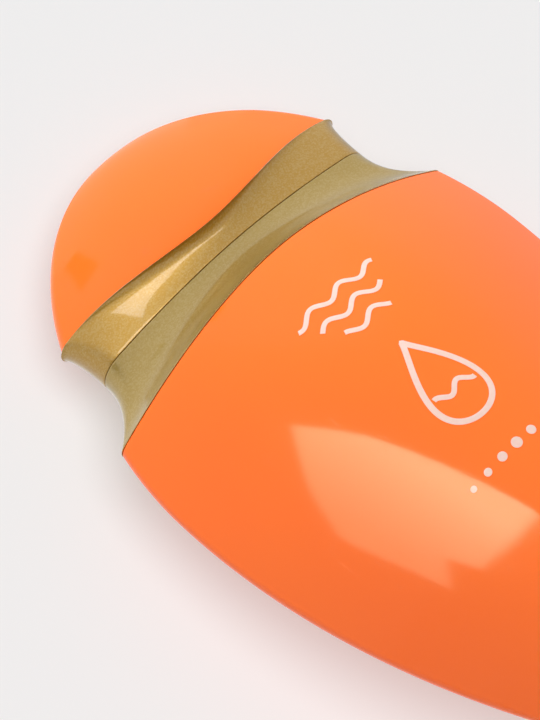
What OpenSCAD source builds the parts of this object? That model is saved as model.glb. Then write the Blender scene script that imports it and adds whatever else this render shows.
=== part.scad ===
// Oval squeeze bottle for sun cream, with a flip-top closure that snaps onto its neck.
// All lengths are millimetres. The bottle stands on its foot at z = 0 and its front faces -Y.
// Every level along the bottle is a lens: two crowned faces that meet in rounded side edges.

/* [Bottle] */
// Height from the foot to the shoulder, where the closure sits
body_h = 78; // [70:1:110]
// Width at the shoulder
shoulder_w = 61.4; // [56:0.2:68]
// Thickness from front to back at the shoulder
shoulder_t = 32.4; // [31:0.2:38]
// Width at the widest level
widest_w = 64.6; // [62:0.2:76]
// How far the widest level lies below the shoulder
widest_drop = 13.6; // [10:0.2:32]
// Thickness at the thickest level
thickest_t = 42; // [38:0.5:46]
// How far the thickest level lies below the shoulder
thickest_drop = 29; // [22:1:44]
// Width of the foot, before its edge is rounded
foot_w = 27; // [24:0.5:44]
// Thickness of the foot, before its edge is rounded
foot_t = 25; // [22:0.5:34]
// Radius of the rounded side edges
side_edge_r = 2; // [1.6:0.2:4]
// Power of the curve across each face: 2 is a parabola, and less makes the middle fuller
face_crown = 1.8; // [1.6:0.1:2.4]
// Radius of the edge round the foot
foot_edge_r = 3; // [1.5:0.5:4]
// Width of the flat rim that the bottle stands on
foot_rim = 2.5; // [1.5:0.5:4]
// Height of the hollow inside the foot rim
foot_hollow = 0.8; // [0.4:0.1:1.5]
// Radius of the edge round the shoulder
shoulder_edge_r = 0.7; // [0.4:0.1:2]
// Wall of the blown bottle
body_wall = 1.1; // [0.8:0.1:1.6]
// Size of the bevels round the floor and the roof inside
inside_bevel = 3; // [1:0.5:4]

/* [Neck] */
// Outer diameter of the neck
neck_d = 14.8; // [14:0.2:15.4]
// Bore of the neck
neck_bore_d = 12; // [11:0.2:12.4]
// Height of the neck above the shoulder
neck_h = 3.9; // [3.4:0.1:4.2]
// How far the snap bead stands out from the neck
bead_out = 0.5; // [0.3:0.05:0.6]
// Height of the snap bead's middle above the shoulder
bead_level = 2.2; // [1.8:0.1:2.4]
// Thickness of the foam gasket on the neck
gasket_t = 0.5; // [0.3:0.1:0.8]
// How far the gasket's edge lies inside the neck's
gasket_inset = 0.2; // [0:0.1:0.4]
// Chamfer on the rims of the neck and the dispensing hole
rim_chamfer = 0.3; // [0.1:0.1:0.4]

/* [Closure base] */
// Height of the parting plane between base and lid, above the shoulder
parting_h = 9.7; // [9:0.1:11]
// Gap between the base and the closed lid
parting_gap = 0.2; // [0.1:0.05:0.4]
// How far the closure's rim stands proud of the bottle
rim_proud = 0.15; // [0.1:0.05:0.6]
// Width of the closure at the parting plane
waist_w = 50.2; // [48:0.2:54]
// Depth of the front face at the parting plane, from the bottle's axis
waist_front = 7.3; // [7:0.1:10]
// Depth of the back face at the parting plane, from the bottle's axis
waist_back = 13.4; // [12.6:0.1:15]
// Radius of the side edges at the parting plane
waist_edge_r = 4.2; // [3:0.2:5]
// Power of the cove between the shoulder and the parting plane: more makes it hug the waist longer
waist_curve = 2.2; // [1.6:0.1:3]
// Wall of the closure
closure_wall = 1.1; // [0.9:0.1:1.5]
// How far the deck lies below the parting plane
deck_drop = 0.6; // [0.3:0.1:1]
// Thickness of the deck
deck_t = 1.2; // [0.8:0.1:1.6]
// Wall of the skirt that snaps over the neck
skirt_wall = 1.0; // [0.8:0.1:1.2]
// Clearance between the skirt and the neck
skirt_clearance = 0.15; // [0.05:0.05:0.25]
// Wall of the tube that plugs the neck
plug_wall = 1.0; // [0.8:0.1:1.4]
// Clearance between that tube and the neck's bore
plug_clearance = 0.1; // [0.05:0.05:0.2]
// How far that tube reaches into the neck
plug_reach = 1.6; // [1:0.1:2.4]
// Thickness of the shelf over the neck's rim
shelf_t = 0.8; // [0.6:0.1:1]
// Gap between the skirt and the bottle's shoulder
skirt_lift = 0.4; // [0.2:0.1:0.8]

/* [Spout] */
// Diameter of the dispensing hole
orifice_d = 3; // [2:0.1:3.6]
// Outer diameter of the spout
spout_d = 6.4; // [5.6:0.1:7]
// Height of the spout above the deck
spout_h = 2; // [1.6:0.1:2.2]
// Chamfer round the top of the spout
spout_chamfer = 0.5; // [0.2:0.1:0.8]
// Diameter of the spout's flange under the deck
spout_flange_d = 8.8; // [8:0.1:9.6]
// Thickness of that flange
spout_flange_t = 0.8; // [0.6:0.1:1.2]

/* [Lid] */
// Width of the lid where the dome meets the frame
dome_w = 52.3; // [48:0.1:54]
// Height of the dome's edge above the shoulder, at the sides
dome_seam_h = 17.3; // [16:0.1:20]
// How far the dome's edge dips to the front, as the lip for the thumb
lip_dip = 4; // [2.5:0.1:4.2]
// Power of that dip across the front: more keeps the edge high near the sides
lip_curve = 2.2; // [1.4:0.1:3]
// Depth of the dome at the lip, from the bottle's axis
lip_front = 9.2; // [8.4:0.1:12]
// Depth of the dome at the back, from the bottle's axis
dome_back = 14; // [13.6:0.1:15]
// Height of the dome's top above the shoulder
dome_top_h = 37; // [32:0.2:42]
// How far below its edge the dome's side curve has its centre
dome_sink = 25; // [8:0.5:30]
// Power of the dome's front and back curve: more makes it fuller above its edge
dome_full = 1.6; // [1.5:0.1:2.6]
// Power that rounds that curve over the top: less makes the top blunter
dome_blunt = 0.76; // [0.5:0.02:1]
// Radius of the dome's side edges
dome_edge_r = 2.6; // [2:0.1:4]
// Wall of the dome
dome_wall = 1.3; // [1:0.1:1.8]
// Wall at the top of the dome
dome_roof = 2.1; // [1.3:0.1:3]
// How far the frame's lip stands proud of the dome
frame_proud = 0.3; // [0.1:0.1:0.5]
// Height of the frame's rib inside the dome
rib_h = 1.8; // [1:0.1:2.4]
// Clearance between that rib and the dome
rib_clearance = 0.1; // [0.05:0.05:0.2]
// Thickness of the web across the frame
web_t = 1.0; // [0.8:0.1:1.4]
// Height of the web's underside above the parting plane
web_h = 2.2; // [2:0.1:2.6]

/* [Seal plug] */
// Diameter of the pin at its root
pin_d = 2.4; // [1.4:0.1:2.4]
// Diameter of the pin at its tip
pin_tip_d = 1.8; // [1:0.1:2]
// Length of the pin
pin_h = 1.3; // [0.8:0.1:1.5]
// Clearance between the plug's collar and the spout
collar_clearance = 0.3; // [0.2:0.05:0.5]
// Wall of the collar
collar_wall = 0.7; // [0.5:0.1:1]
// Height of the collar
collar_h = 1.1; // [0.6:0.1:1.2]
// Diameter of the plug's stem in the web
stem_d = 5.2; // [4:0.1:6]
// Thickness of the plug's flange under the web
flange_t = 0.6; // [0.4:0.1:0.7]

/* [Hinge] */
// Width of the flat pad that carries the hinge
hinge_pad_w = 13; // [10:0.5:16]
// Height of the pad on each side of the parting plane
hinge_pad_h = 3; // [2:0.1:4]
// Depth of the pad, from its flat back face inwards
hinge_pad_t = 2.4; // [1.8:0.1:3]
// Width of the hinge film
film_w = 6; // [4:0.5:8]
// Thickness of the hinge film
film_t = 0.35; // [0.25:0.05:0.5]
// Width of each tension strap beside the film
strap_w = 1.8; // [1.2:0.1:2.4]
// Gap between the film and each strap
strap_gap = 0.9; // [0.5:0.1:1.5]
// Length of each strap along the bottle
strap_len = 3.2; // [2:0.1:5]
// Thickness of each strap
strap_t = 0.4; // [0.3:0.05:0.6]

/* [Hidden] */

// Points along each face and round each side edge of a lens
face_n = 21;
edge_n = 6;
ring_n = 2 * (face_n + edge_n);
// Largest share of a lens's depth that its edge radius may take
edge_share = 0.4;
// How far a cut runs past each end of what it cuts
past = 1;
// Levels along each surface
body_levels = 26;
cavity_levels = 20;
cove_levels = 10;
dome_levels = 16;
round_levels = 5;
$fn = 64;

shoulder_z = body_h;
parting_z = shoulder_z + parting_h;
seam_z = shoulder_z + dome_seam_h;
top_z = shoulder_z + dome_top_h;
base_top_z = parting_z - parting_gap / 2;
lid_bottom_z = parting_z + parting_gap / 2;
deck_top_z = parting_z - deck_drop;
deck_z = deck_top_z - deck_t;
neck_top_z = shoulder_z + neck_h;
flange_z = neck_top_z + gasket_t;
web_z = parting_z + web_h;
rim_w = shoulder_w + 2 * rim_proud;
rim_t = shoulder_t + 2 * rim_proud;
skirt_r = neck_d / 2 + skirt_clearance;
skirt_out_r = skirt_r + skirt_wall;
plug_r = neck_bore_d / 2 - plug_clearance;
pad_back = waist_back;
rib_in = dome_wall + rib_clearance;

// One point of a lens: half width a, depths f to the front and b to the back, edge radius r.
// Points run along the front from left to right, round the right edge, back, and round the left.
function face_angle(a, d, r) = atan2(1, face_crown * (d - r) / (a - r));
function face_point(s, a, d, r) =
    let (core = a - r, rise = d - r,
         n = [face_crown * rise / core * sign(s) * pow(abs(s), face_crown - 1), -1])
    [core * s, -rise * (1 - pow(abs(s), face_crown))] + r * n / norm(n);
function lens_point(i, a, f, b, r) =
    let (half = face_n + edge_n, back = i >= half, k = back ? i - half : i, d = back ? b : f,
         other = back ? f : b, turn = back ? -1 : 1,
         from = -face_angle(a, d, r), to = face_angle(a, other, r),
         swing = from + (to - from) * (k - face_n + 1) / (edge_n + 1),
         p = k < face_n ? face_point(2 * k / (face_n - 1) - 1, a, d, r)
                        : [a - r + r * cos(swing), r * sin(swing)])
    turn * p;
function lens(a, f, b, r) = [for (i = [0:ring_n - 1]) lens_point(i, a, f, b, r)];
// The same points drawn out to a circle, for a ring that ends at a round neck
function round_ring(radius, ring, a, d) =
    [for (p = ring) let (q = [p.x / a, p.y / d]) radius * q / norm(q)];
function at(ring, z) = [for (p = ring) [p.x, p.y, z]];

// A closed skin over rings of equal count. A cup closes at the middle of its first and last
// ring, and a band joins its last ring to its first.
function strip(k, m, count) = [for (i = [0:count - 1]) each
    [[k * count + i, m * count + (i + 1) % count, k * count + (i + 1) % count],
     [k * count + i, m * count + i, m * count + (i + 1) % count]]];
module cup(rings, first, last) {
    count = len(rings[0]);
    total = len(rings) * count;
    polyhedron(
        points = concat([for (ring = rings) each ring], [first, last]),
        faces = concat(
            [for (i = [0:count - 1]) [total, i, (i + 1) % count]],
            [for (k = [0:len(rings) - 2]) each strip(k, k + 1, count)],
            [for (i = [0:count - 1]) [total + 1, total - count + (i + 1) % count, total - count + i]]),
        convexity = 6);
}
module band(rings) {
    count = len(rings[0]);
    polyhedron(
        points = [for (ring = rings) each ring],
        faces = [for (k = [0:len(rings) - 1]) each strip(k, (k + 1) % len(rings), count)],
        convexity = 8);
}

// Bottle: half width and half thickness at a depth under the shoulder
function spread(drop, level, full, top, bottom) =
    drop < level ? full - (full - top) * pow((level - drop) / level, 2)
                 : full - (full - bottom) * pow((drop - level) / (body_h - level), 2);
function body_half_w(z) = spread(body_h - z, widest_drop, widest_w, shoulder_w, foot_w) / 2;
function body_half_t(z) = spread(body_h - z, thickest_drop, thickest_t, shoulder_t, foot_t) / 2;
function body_ring(z, inset) =
    let (t = body_half_t(z) - inset)
    at(lens(body_half_w(z) - inset, t, t, min(side_edge_r, t * edge_share)), z);
// Levels that follow a quarter round, as pairs of inset and height
function quarter(radius, n) =
    [for (k = [0:n]) let (t = 90 * k / n) radius * [1 - sin(t), 1 - cos(t)]];

module bottle_body() {
    side_low = foot_edge_r;
    side_high = shoulder_z - shoulder_edge_r;
    floor_z = foot_hollow + body_wall;
    roof_z = shoulder_z - body_wall;
    wall_high = roof_z - inside_bevel / 2;
    wall_low = floor_z + inside_bevel;
    // The skin turns in at the middle of the neck's wall, where the neck overlaps it
    hole_r = (neck_d + neck_bore_d) / 4;
    hole = round_ring(hole_r, lens(shoulder_w / 2, shoulder_t / 2, shoulder_t / 2, side_edge_r),
                      shoulder_w / 2, shoulder_t / 2);
    foot = [
        body_ring(foot_hollow, foot_edge_r + foot_rim + foot_hollow),
        body_ring(0, foot_edge_r + foot_rim),
        for (q = quarter(foot_edge_r, round_levels)) body_ring(q.y, q.x)];
    side = [for (k = [1:body_levels])
        body_ring(side_low + (side_high - side_low) * k / body_levels, 0)];
    shoulder = [for (k = [1:round_levels]) let (t = 90 * k / round_levels)
        body_ring(side_high + shoulder_edge_r * sin(t), shoulder_edge_r * (1 - cos(t)))];
    cavity = [
        body_ring(roof_z, body_wall + inside_bevel / 2),
        for (k = [0:cavity_levels])
            body_ring(wall_high + (wall_low - wall_high) * k / cavity_levels, body_wall),
        body_ring(floor_z + inside_bevel / 3, body_wall + inside_bevel / 3),
        body_ring(floor_z, body_wall + inside_bevel)];
    color("#ff8338") {
        cup(concat(foot, side, shoulder, [at(hole, shoulder_z), at(hole, roof_z)], cavity),
            [0, 0, foot_hollow], [0, 0, floor_z]);
        translate([0, 0, shoulder_z]) neck();
    }
}

module neck() {
    rotate_extrude()
    polygon([
        [neck_bore_d / 2, -body_wall],
        [neck_d / 2, -body_wall],
        [neck_d / 2, bead_level - bead_out / 2],
        [neck_d / 2 + bead_out, bead_level - bead_out / 3],
        [neck_d / 2 + bead_out, bead_level + bead_out / 3],
        [neck_d / 2, bead_level + 1.5 * bead_out],
        [neck_d / 2, neck_h - rim_chamfer],
        [neck_d / 2 - rim_chamfer, neck_h],
        [neck_bore_d / 2, neck_h]]);
}

module neck_gasket() {
    color("#f4f1ea")
    translate([0, 0, neck_top_z])
    difference() {
        cylinder(d = neck_d - 2 * gasket_inset, h = gasket_t);
        translate([0, 0, -past]) cylinder(d = neck_bore_d, h = gasket_t + 2 * past);
    }
}

// Closure: outline between the shoulder (rise 0) and the parting plane (rise 1)
function hollow_curve(low, high, rise) = high + (low - high) * pow(1 - rise, waist_curve);
function base_ring(z, inset) =
    let (rise = (z - shoulder_z) / parting_h,
         edge = side_edge_r + (waist_edge_r - side_edge_r) * rise)
    at(lens(hollow_curve(rim_w, waist_w, rise) / 2 - inset,
            hollow_curve(rim_t / 2, waist_front, rise) - inset,
            hollow_curve(rim_t / 2, waist_back, rise) - inset, edge - inset), z);

module closure_base() {
    span = base_top_z - shoulder_z;
    outer = [for (k = [0:cove_levels]) base_ring(shoulder_z + span * k / cove_levels, 0)];
    inner = [for (k = [0:cove_levels]) base_ring(base_top_z - span * k / cove_levels, closure_wall)];
    deck = lens(waist_w / 2 - closure_wall / 2, waist_front - closure_wall / 2,
                waist_back - closure_wall / 2, waist_edge_r - closure_wall / 2);
    color("#bfae76") {
        band(concat(outer, inner));
        translate([0, 0, deck_z])
        difference() {
            linear_extrude(deck_t) polygon(deck);
            translate([0, 0, -past]) cylinder(d = spout_d, h = deck_t + 2 * past);
        }
        translate([0, 0, shoulder_z]) neck_socket();
        hinge_pad(base_top_z - hinge_pad_h);
    }
}

// Tube that plugs the neck, the shelf over the neck's rim and the skirt that snaps under its bead
module neck_socket() {
    shelf = neck_h + gasket_t;
    groove_r = skirt_r + bead_out;
    rotate_extrude()
    polygon([
        [plug_r - plug_wall, neck_h - plug_reach],
        [plug_r, neck_h - plug_reach],
        [plug_r, shelf],
        [skirt_r, shelf],
        [skirt_r, bead_level + 2 * bead_out],
        [groove_r, bead_level + bead_out],
        [groove_r, bead_level - bead_out],
        [skirt_r, bead_level - bead_out],
        [skirt_r, skirt_lift],
        [skirt_out_r, skirt_lift],
        [skirt_out_r, shelf + shelf_t],
        [plug_r, shelf + shelf_t],
        [plug_r, parting_h - deck_drop - deck_t / 2],
        [plug_r - plug_wall, parting_h - deck_drop - deck_t / 2]]);
}

module hinge_pad(z) {
    translate([-hinge_pad_w / 2, pad_back - hinge_pad_t, z])
    cube([hinge_pad_w, hinge_pad_t, hinge_pad_h]);
}

module spout() {
    color("#f6f4ee")
    translate([0, 0, deck_z])
    rotate_extrude()
    polygon([
        [orifice_d / 2, -spout_flange_t],
        [spout_flange_d / 2, -spout_flange_t],
        [spout_flange_d / 2, 0],
        [spout_d / 2, 0],
        [spout_d / 2, deck_t + spout_h - spout_chamfer],
        [spout_d / 2 - spout_chamfer, deck_t + spout_h],
        [orifice_d / 2 + rim_chamfer, deck_t + spout_h],
        [orifice_d / 2, deck_t + spout_h - rim_chamfer]]);
}

module hinge_film() {
    color("#b5a36c")
    translate([-film_w / 2, pad_back - film_t, base_top_z])
    cube([film_w, film_t, parting_gap]);
}

module hinge_straps() {
    color("#b5a36c")
    for (side = [-1, 1]) {
        middle = side * (film_w / 2 + strap_gap + strap_w / 2);
        translate([middle - strap_w / 2, pad_back, parting_z - strap_len / 2])
        cube([strap_w, strap_t, strap_len]);
    }
}

// Dome: half width, front depth and back depth at height z
function dome_half_w(z) =
    let (reach = top_z - seam_z + dome_sink, q = (z - seam_z + dome_sink) / reach,
         q0 = dome_sink / reach)
    dome_w / 2 * sqrt(max(0, 1 - q * q) / (1 - q0 * q0));
function dome_depth(z, full) =
    let (low = seam_z - lip_dip + 1, q = max(0, z - low) / (top_z - low))
    full * pow(max(0, 1 - pow(q, dome_full)), dome_blunt);
function dome_point(i, z, inset) =
    let (a = dome_half_w(z) - inset, f = dome_depth(z, lip_front) - inset,
         b = dome_depth(z, dome_back) - inset,
         p = lens_point(i, a, f, b, min(dome_edge_r, edge_share * min(f, b))))
    [p.x, p.y, z];
// Height of the dome's edge: level at the sides and back, dipping to the front. A lens of size 1
// tells how far forward a point lies.
function edge_z(i) =
    let (p = lens_point(i, 1, 1, 1, 0.1))
    seam_z - lip_dip * pow(max(0, -p.y), lip_curve);
function dome_ring(t, inset, drop) =
    [for (i = [0:ring_n - 1])
        let (low = edge_z(i), high = top_z - drop)
        dome_point(i, low + (high - low) * sin(90 * t), inset)];

module lid_dome() {
    outer = [for (k = [1:dome_levels]) dome_ring(1 - k / dome_levels, 0, 0)];
    inner = [for (k = [0:dome_levels - 1]) dome_ring(k / dome_levels, dome_wall, dome_roof)];
    color("#ff933f")
    cup(concat(outer, inner), [0, 0, top_z], [0, 0, top_z - dome_roof]);
}

// Frame of the lid: rises from the parting plane and curls out to the lip under the dome
function waist_point(i, inset) =
    lens_point(i, waist_w / 2 - inset, waist_front - inset, waist_back - inset, waist_edge_r - inset);
function frame_point(i, t, inset) =
    let (low = waist_point(i, inset), high = dome_point(i, edge_z(i), inset - frame_proud),
         curl = 1 - cos(90 * t))
    [low.x + (high.x - low.x) * curl, low.y + (high.y - low.y) * curl,
     lid_bottom_z + (high.z - lid_bottom_z) * sin(90 * t)];
function frame_ring(t, inset) = [for (i = [0:ring_n - 1]) frame_point(i, t, inset)];
function rib_ring(rise, inset) = [for (i = [0:ring_n - 1]) dome_point(i, edge_z(i) + rise, inset)];

// The web ends inside the frame's wall, and at the lip inside its rib
function web_point(i, z) =
    let (high = edge_z(i), rise = (z - lid_bottom_z) / (high - lid_bottom_z),
         p = z + web_t / 2 < high ? frame_point(i, asin(min(1, rise)) / 90, closure_wall / 2)
                                  : dome_point(i, z, rib_in + closure_wall / 2))
    [p.x, p.y];

module lid_frame() {
    outer = [for (k = [0:cove_levels]) frame_ring(k / cove_levels, 0)];
    rib = [rib_ring(0, rib_in), rib_ring(rib_h, rib_in), rib_ring(rib_h, rib_in + closure_wall)];
    inner = [for (k = [0:cove_levels]) let (t = 1 - k / cove_levels)
        [for (i = [0:ring_n - 1]) frame_point(i, t, closure_wall * (1 + t)) + [0, 0, closure_wall * t]]];
    color("#c9b981") {
        band(concat(outer, rib, inner));
        translate([0, 0, web_z])
        difference() {
            linear_extrude(web_t) polygon([for (i = [0:ring_n - 1]) web_point(i, web_z + web_t / 2)]);
            translate([0, 0, -past]) cylinder(d = stem_d, h = web_t + 2 * past);
        }
        hinge_pad(lid_bottom_z);
    }
}

module seal_plug() {
    collar_r = spout_d / 2 + collar_clearance;
    color("#f6f4ee")
    translate([0, 0, web_z])
    rotate_extrude()
    polygon([
        [0, -flange_t - pin_h],
        [pin_tip_d / 2, -flange_t - pin_h],
        [pin_d / 2, -flange_t],
        [collar_r, -flange_t],
        [collar_r, -flange_t - collar_h],
        [collar_r + collar_wall, -flange_t - collar_h],
        [collar_r + collar_wall, 0],
        [stem_d / 2, 0],
        [stem_d / 2, web_t],
        [0, web_t]]);
}

bottle_body();
neck_gasket();
closure_base();
spout();
hinge_film();
hinge_straps();
lid_frame();
seal_plug();
lid_dome();
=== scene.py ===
"""Looks of an oval sun cream bottle with a waisted flip-top closure.

The sizes repeat those of the CAD source. Every outline is a lens: two crowned faces, front and back,
that meet in rounded side edges.
"""

import math

import bmesh
import bpy
from mathutils import Matrix, Vector


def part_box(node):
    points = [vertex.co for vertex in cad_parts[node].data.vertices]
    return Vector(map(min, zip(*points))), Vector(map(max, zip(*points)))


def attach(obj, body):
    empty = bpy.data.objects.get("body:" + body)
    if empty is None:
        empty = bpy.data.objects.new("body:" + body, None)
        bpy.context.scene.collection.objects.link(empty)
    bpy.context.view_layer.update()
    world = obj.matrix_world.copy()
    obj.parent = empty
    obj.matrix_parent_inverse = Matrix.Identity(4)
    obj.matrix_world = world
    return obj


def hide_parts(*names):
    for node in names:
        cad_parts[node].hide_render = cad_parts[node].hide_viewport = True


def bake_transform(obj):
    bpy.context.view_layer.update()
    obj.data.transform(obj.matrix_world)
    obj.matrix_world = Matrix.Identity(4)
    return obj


bl_info = {
    "name": "Oval flip-top bottle",
    "version": (1, 0, 0),
    "blender": (4, 5, 0),
    "location": "View3D > Sidebar > Bottle",
    "description": "Builds the looks of an oval squeeze bottle with a flip-top closure",
    "category": "Object",
}

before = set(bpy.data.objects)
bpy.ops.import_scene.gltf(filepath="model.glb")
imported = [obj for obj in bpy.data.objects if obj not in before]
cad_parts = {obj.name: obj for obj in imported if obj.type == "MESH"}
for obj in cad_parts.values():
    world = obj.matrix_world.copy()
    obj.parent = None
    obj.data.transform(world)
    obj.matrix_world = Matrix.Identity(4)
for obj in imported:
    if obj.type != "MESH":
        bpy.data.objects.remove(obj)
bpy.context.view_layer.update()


def linear(hex_colour):
    """sRGB hex to linear RGBA."""
    parts = [int(hex_colour[k:k + 2], 16) / 255 for k in (1, 3, 5)]
    return [p / 12.92 if p <= 0.04045 else ((p + 0.055) / 1.055) ** 2.4 for p in parts] + [1.0]


MM = 0.001
FACE_POINTS = 61
EDGE_POINTS = 15
RING_POINTS = 2 * (FACE_POINTS + EDGE_POINTS)
WELD = 0.0005 * MM
SHARP_ANGLE = math.radians(50)

# How far from a face's middle its curve is softened, as a share of the half width.
SOFTENED_MIDDLE = 0.15

# The edge of the lens of size 1 that tells how far to the front a point of an outline lies.
UNIT_EDGE = 0.1

# The largest share of a section's depth that the radius of its side edge takes.
BODY_EDGE_SHARE = 0.45
DOME_EDGE_SHARE = 0.4

# The hollow of the foot: share of its height, and distance in from the rim in mm.
FOOT_COVE = ((1.0, 1.6), (0.8, 0.8), (0.2, 0.3), (0.0, 0.0))

# Small edges that a mould leaves, and the size of the curve inside the bottle.
NECK_EDGE = 0.3 * MM
SOFT_EDGE = 0.1 * MM
CURL_EDGE = 0.12 * MM
INNER_EASE = 1.0 * MM

# How far the dome's wall stands straight over the thumb lip, and the last ring's distance from the pole.
DOME_FOOT = 1.0 * MM
POLE_GAP = 0.4

BAND_EDGE = 0.08 * MM
BAND_CUTS = 23

# The ink reaches this far under the bottle's surface and as far over it.
INK = 0.03 * MM
RIPPLES = 3
RIPPLE_STEPS = 64
DROP_STEPS = 128
DROP_POINT = 1.4
DROP_WAVE_STEPS = 40
DOTS_EACH_SIDE = 3

# The camera, fitted to the photograph: lens in mm, place in mm, and its directions.
LENS = 128.245
EYE = Vector((-102.69, -307.43, -68.55))
RIGHT = Vector((0.71661, 0.09644, -0.69077))
AHEAD = Vector((0.27244, 0.87301, 0.40451))
UP = Vector((0.64206, -0.47807, 0.59934))

# The share of the rear sheet that the camera sees as plain backdrop, and how far behind it a part clears it.
BLEACH = 0.4
WINDOW_REACH = 60 * MM

FILL = 0.2
WHITE = linear("#ffffff")
WARM_WHITE = linear("#ffffdc")

# name, direction that the light comes from, angle in degrees, strength, group that it lights
SUNS = [
    ("soft_key", (0.115, -0.44, 0.89), 60, 2.9, "bottle_and_floor"),
    ("front_fill", (0.0, -1.0, 0.0), 180, 1.35, "bottle"),
    ("back_fill", (0.0, 1.0, 0.2), 110, 0.8, "bottle"),
    ("sheet_key", (-0.114, -0.928, -0.357), 40, 2.5, "rear"),
]

# name, colour, axis of the gradient, its span in mm, its two strengths, corners in mm
CARDS = [
    ("bright_card", WARM_WHITE, (0.61, -0.792, 0.0), (-100, 150), (3.4, 7.6),
     [(-338.75, -292.8, 280.78), (-399.14, -214.39, 186.4), (-434.52, -168.46, 117.93),
      (-429.79, -177.67, 35.52), (-431.49, -176.57, 4.73), (-396.2, -235.28, 29.56),
      (-369.84, -283.87, -52.86), (-152.11, -555.31, 4.73)]),
    ("dark_card", WHITE, (0.0, 0.0, 1.0), (400, 500), (0.2, 0.2),
     [(-70, -128, 482), (-103, -150, 466), (-140, -200, 436), (-90, -210, 440)]),
    ("grey_side_card", WHITE, (0.0, 1.0, 0.0), (-60, 160), (0.863, 0.6),
     [(420, -60, -200), (420, 520, -200), (320, 520, 640), (320, -60, 640)]),
    ("grey_low_card", WHITE, (0.0, 0.0, -1.0), (40, 200), (0.863, 0.4),
     [(-450, -260, -40), (-450, 300, -40), (-250, 300, -420), (-250, -260, -420)]),
]

# name, start, end and width in mm, radiance. The lower two are near, because the floor hides what is far.
STRIPS = [
    ("wide_strip", (-98, -362, 252), (-62, -398, 106), 74, 4.2),
    ("bent_strip", (-62, -398, 106), (-41, -396, 1), 62, 4.2),
    ("thin_strip", (-20, -153, 58), (10, -140, 20), 19, 4.2),
    ("tip_strip", (10, -140, 20), (52, -134, 26), 11, 4.2),
]
STRIP_AIM = Vector((0, 0, 90))

# name, colour setting, size, distances from the origin where its fade starts and ends, a point on it in mm,
# its lean in degrees
SHEETS = [
    ("floor_sheet", "floor", 2.0, (0.4, 0.9), (0, 0, -0.02), 0.0),
    ("rear_sheet", "backdrop", 0.8, (0.22, 0.36), (0, 2.3, 160.0), 100.26),
]

body_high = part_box("bottle_body")[1].z
base_low, base_high = (corner.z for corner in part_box("closure_base"))
lid_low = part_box("lid_frame")[0].z
dome_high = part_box("lid_dome")[1].z


def length(name, description, default):
    """A size in metres that a user can set."""
    return bpy.props.FloatProperty(name=name, description=description, default=default, subtype="DISTANCE",
                                   unit="LENGTH")


def paint(name, description, hex_colour):
    """A colour that a user can set."""
    return bpy.props.FloatVectorProperty(name=name, description=description, default=linear(hex_colour),
                                         subtype="COLOR", size=4)


def power(name, description, default):
    """A plain number that a user can set."""
    return bpy.props.FloatProperty(name=name, description=description, default=default)


class BottleSizes(bpy.types.PropertyGroup):
    shoulder_height: length("Shoulder height", "Level of the seam between bottle and closure", base_low)
    shoulder_width: length("Shoulder width", "Width of the bottle at the shoulder", 61.4 * MM)
    shoulder_thickness: length("Shoulder thickness", "Thickness of the bottle at the shoulder", 32.4 * MM)
    widest: length("Widest", "Width at the widest level", 64.6 * MM)
    widest_drop: length("Widest drop", "Depth of the widest level under the shoulder", 13.6 * MM)
    thickest: length("Thickest", "Thickness at the thickest level", 42.0 * MM)
    thickest_drop: length("Thickest drop", "Depth of the thickest level under the shoulder", 29.0 * MM)
    foot_width: length("Foot width", "Width at the foot", 27.0 * MM)
    foot_thickness: length("Foot thickness", "Thickness at the foot", 25.0 * MM)
    side_edge: length("Side edge", "Radius of the side edges", 2.0 * MM)
    face_crown: power("Face crown", "Power of the curve across a face", 1.8)
    foot_edge: length("Foot edge", "Radius of the edge round the foot", 3.0 * MM)
    foot_rim: length("Foot rim", "Width of the rim that the bottle stands on", 2.5 * MM)
    foot_hollow: length("Foot hollow", "Height of the hollow in the foot", 0.8 * MM)
    shoulder_edge: length("Shoulder edge", "Radius of the edge round the shoulder", 0.35 * MM)
    wall: length("Wall", "Wall of the bottle", 1.1 * MM)
    neck: length("Neck", "Outer diameter of the neck", 14.8 * MM)
    neck_bore: length("Neck bore", "Bore of the neck", 12.0 * MM)
    bead: length("Bead", "How far the neck's bead stands out", 0.5 * MM)
    bead_level: length("Bead level", "Height of the bead above the shoulder", 2.2 * MM)


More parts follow.
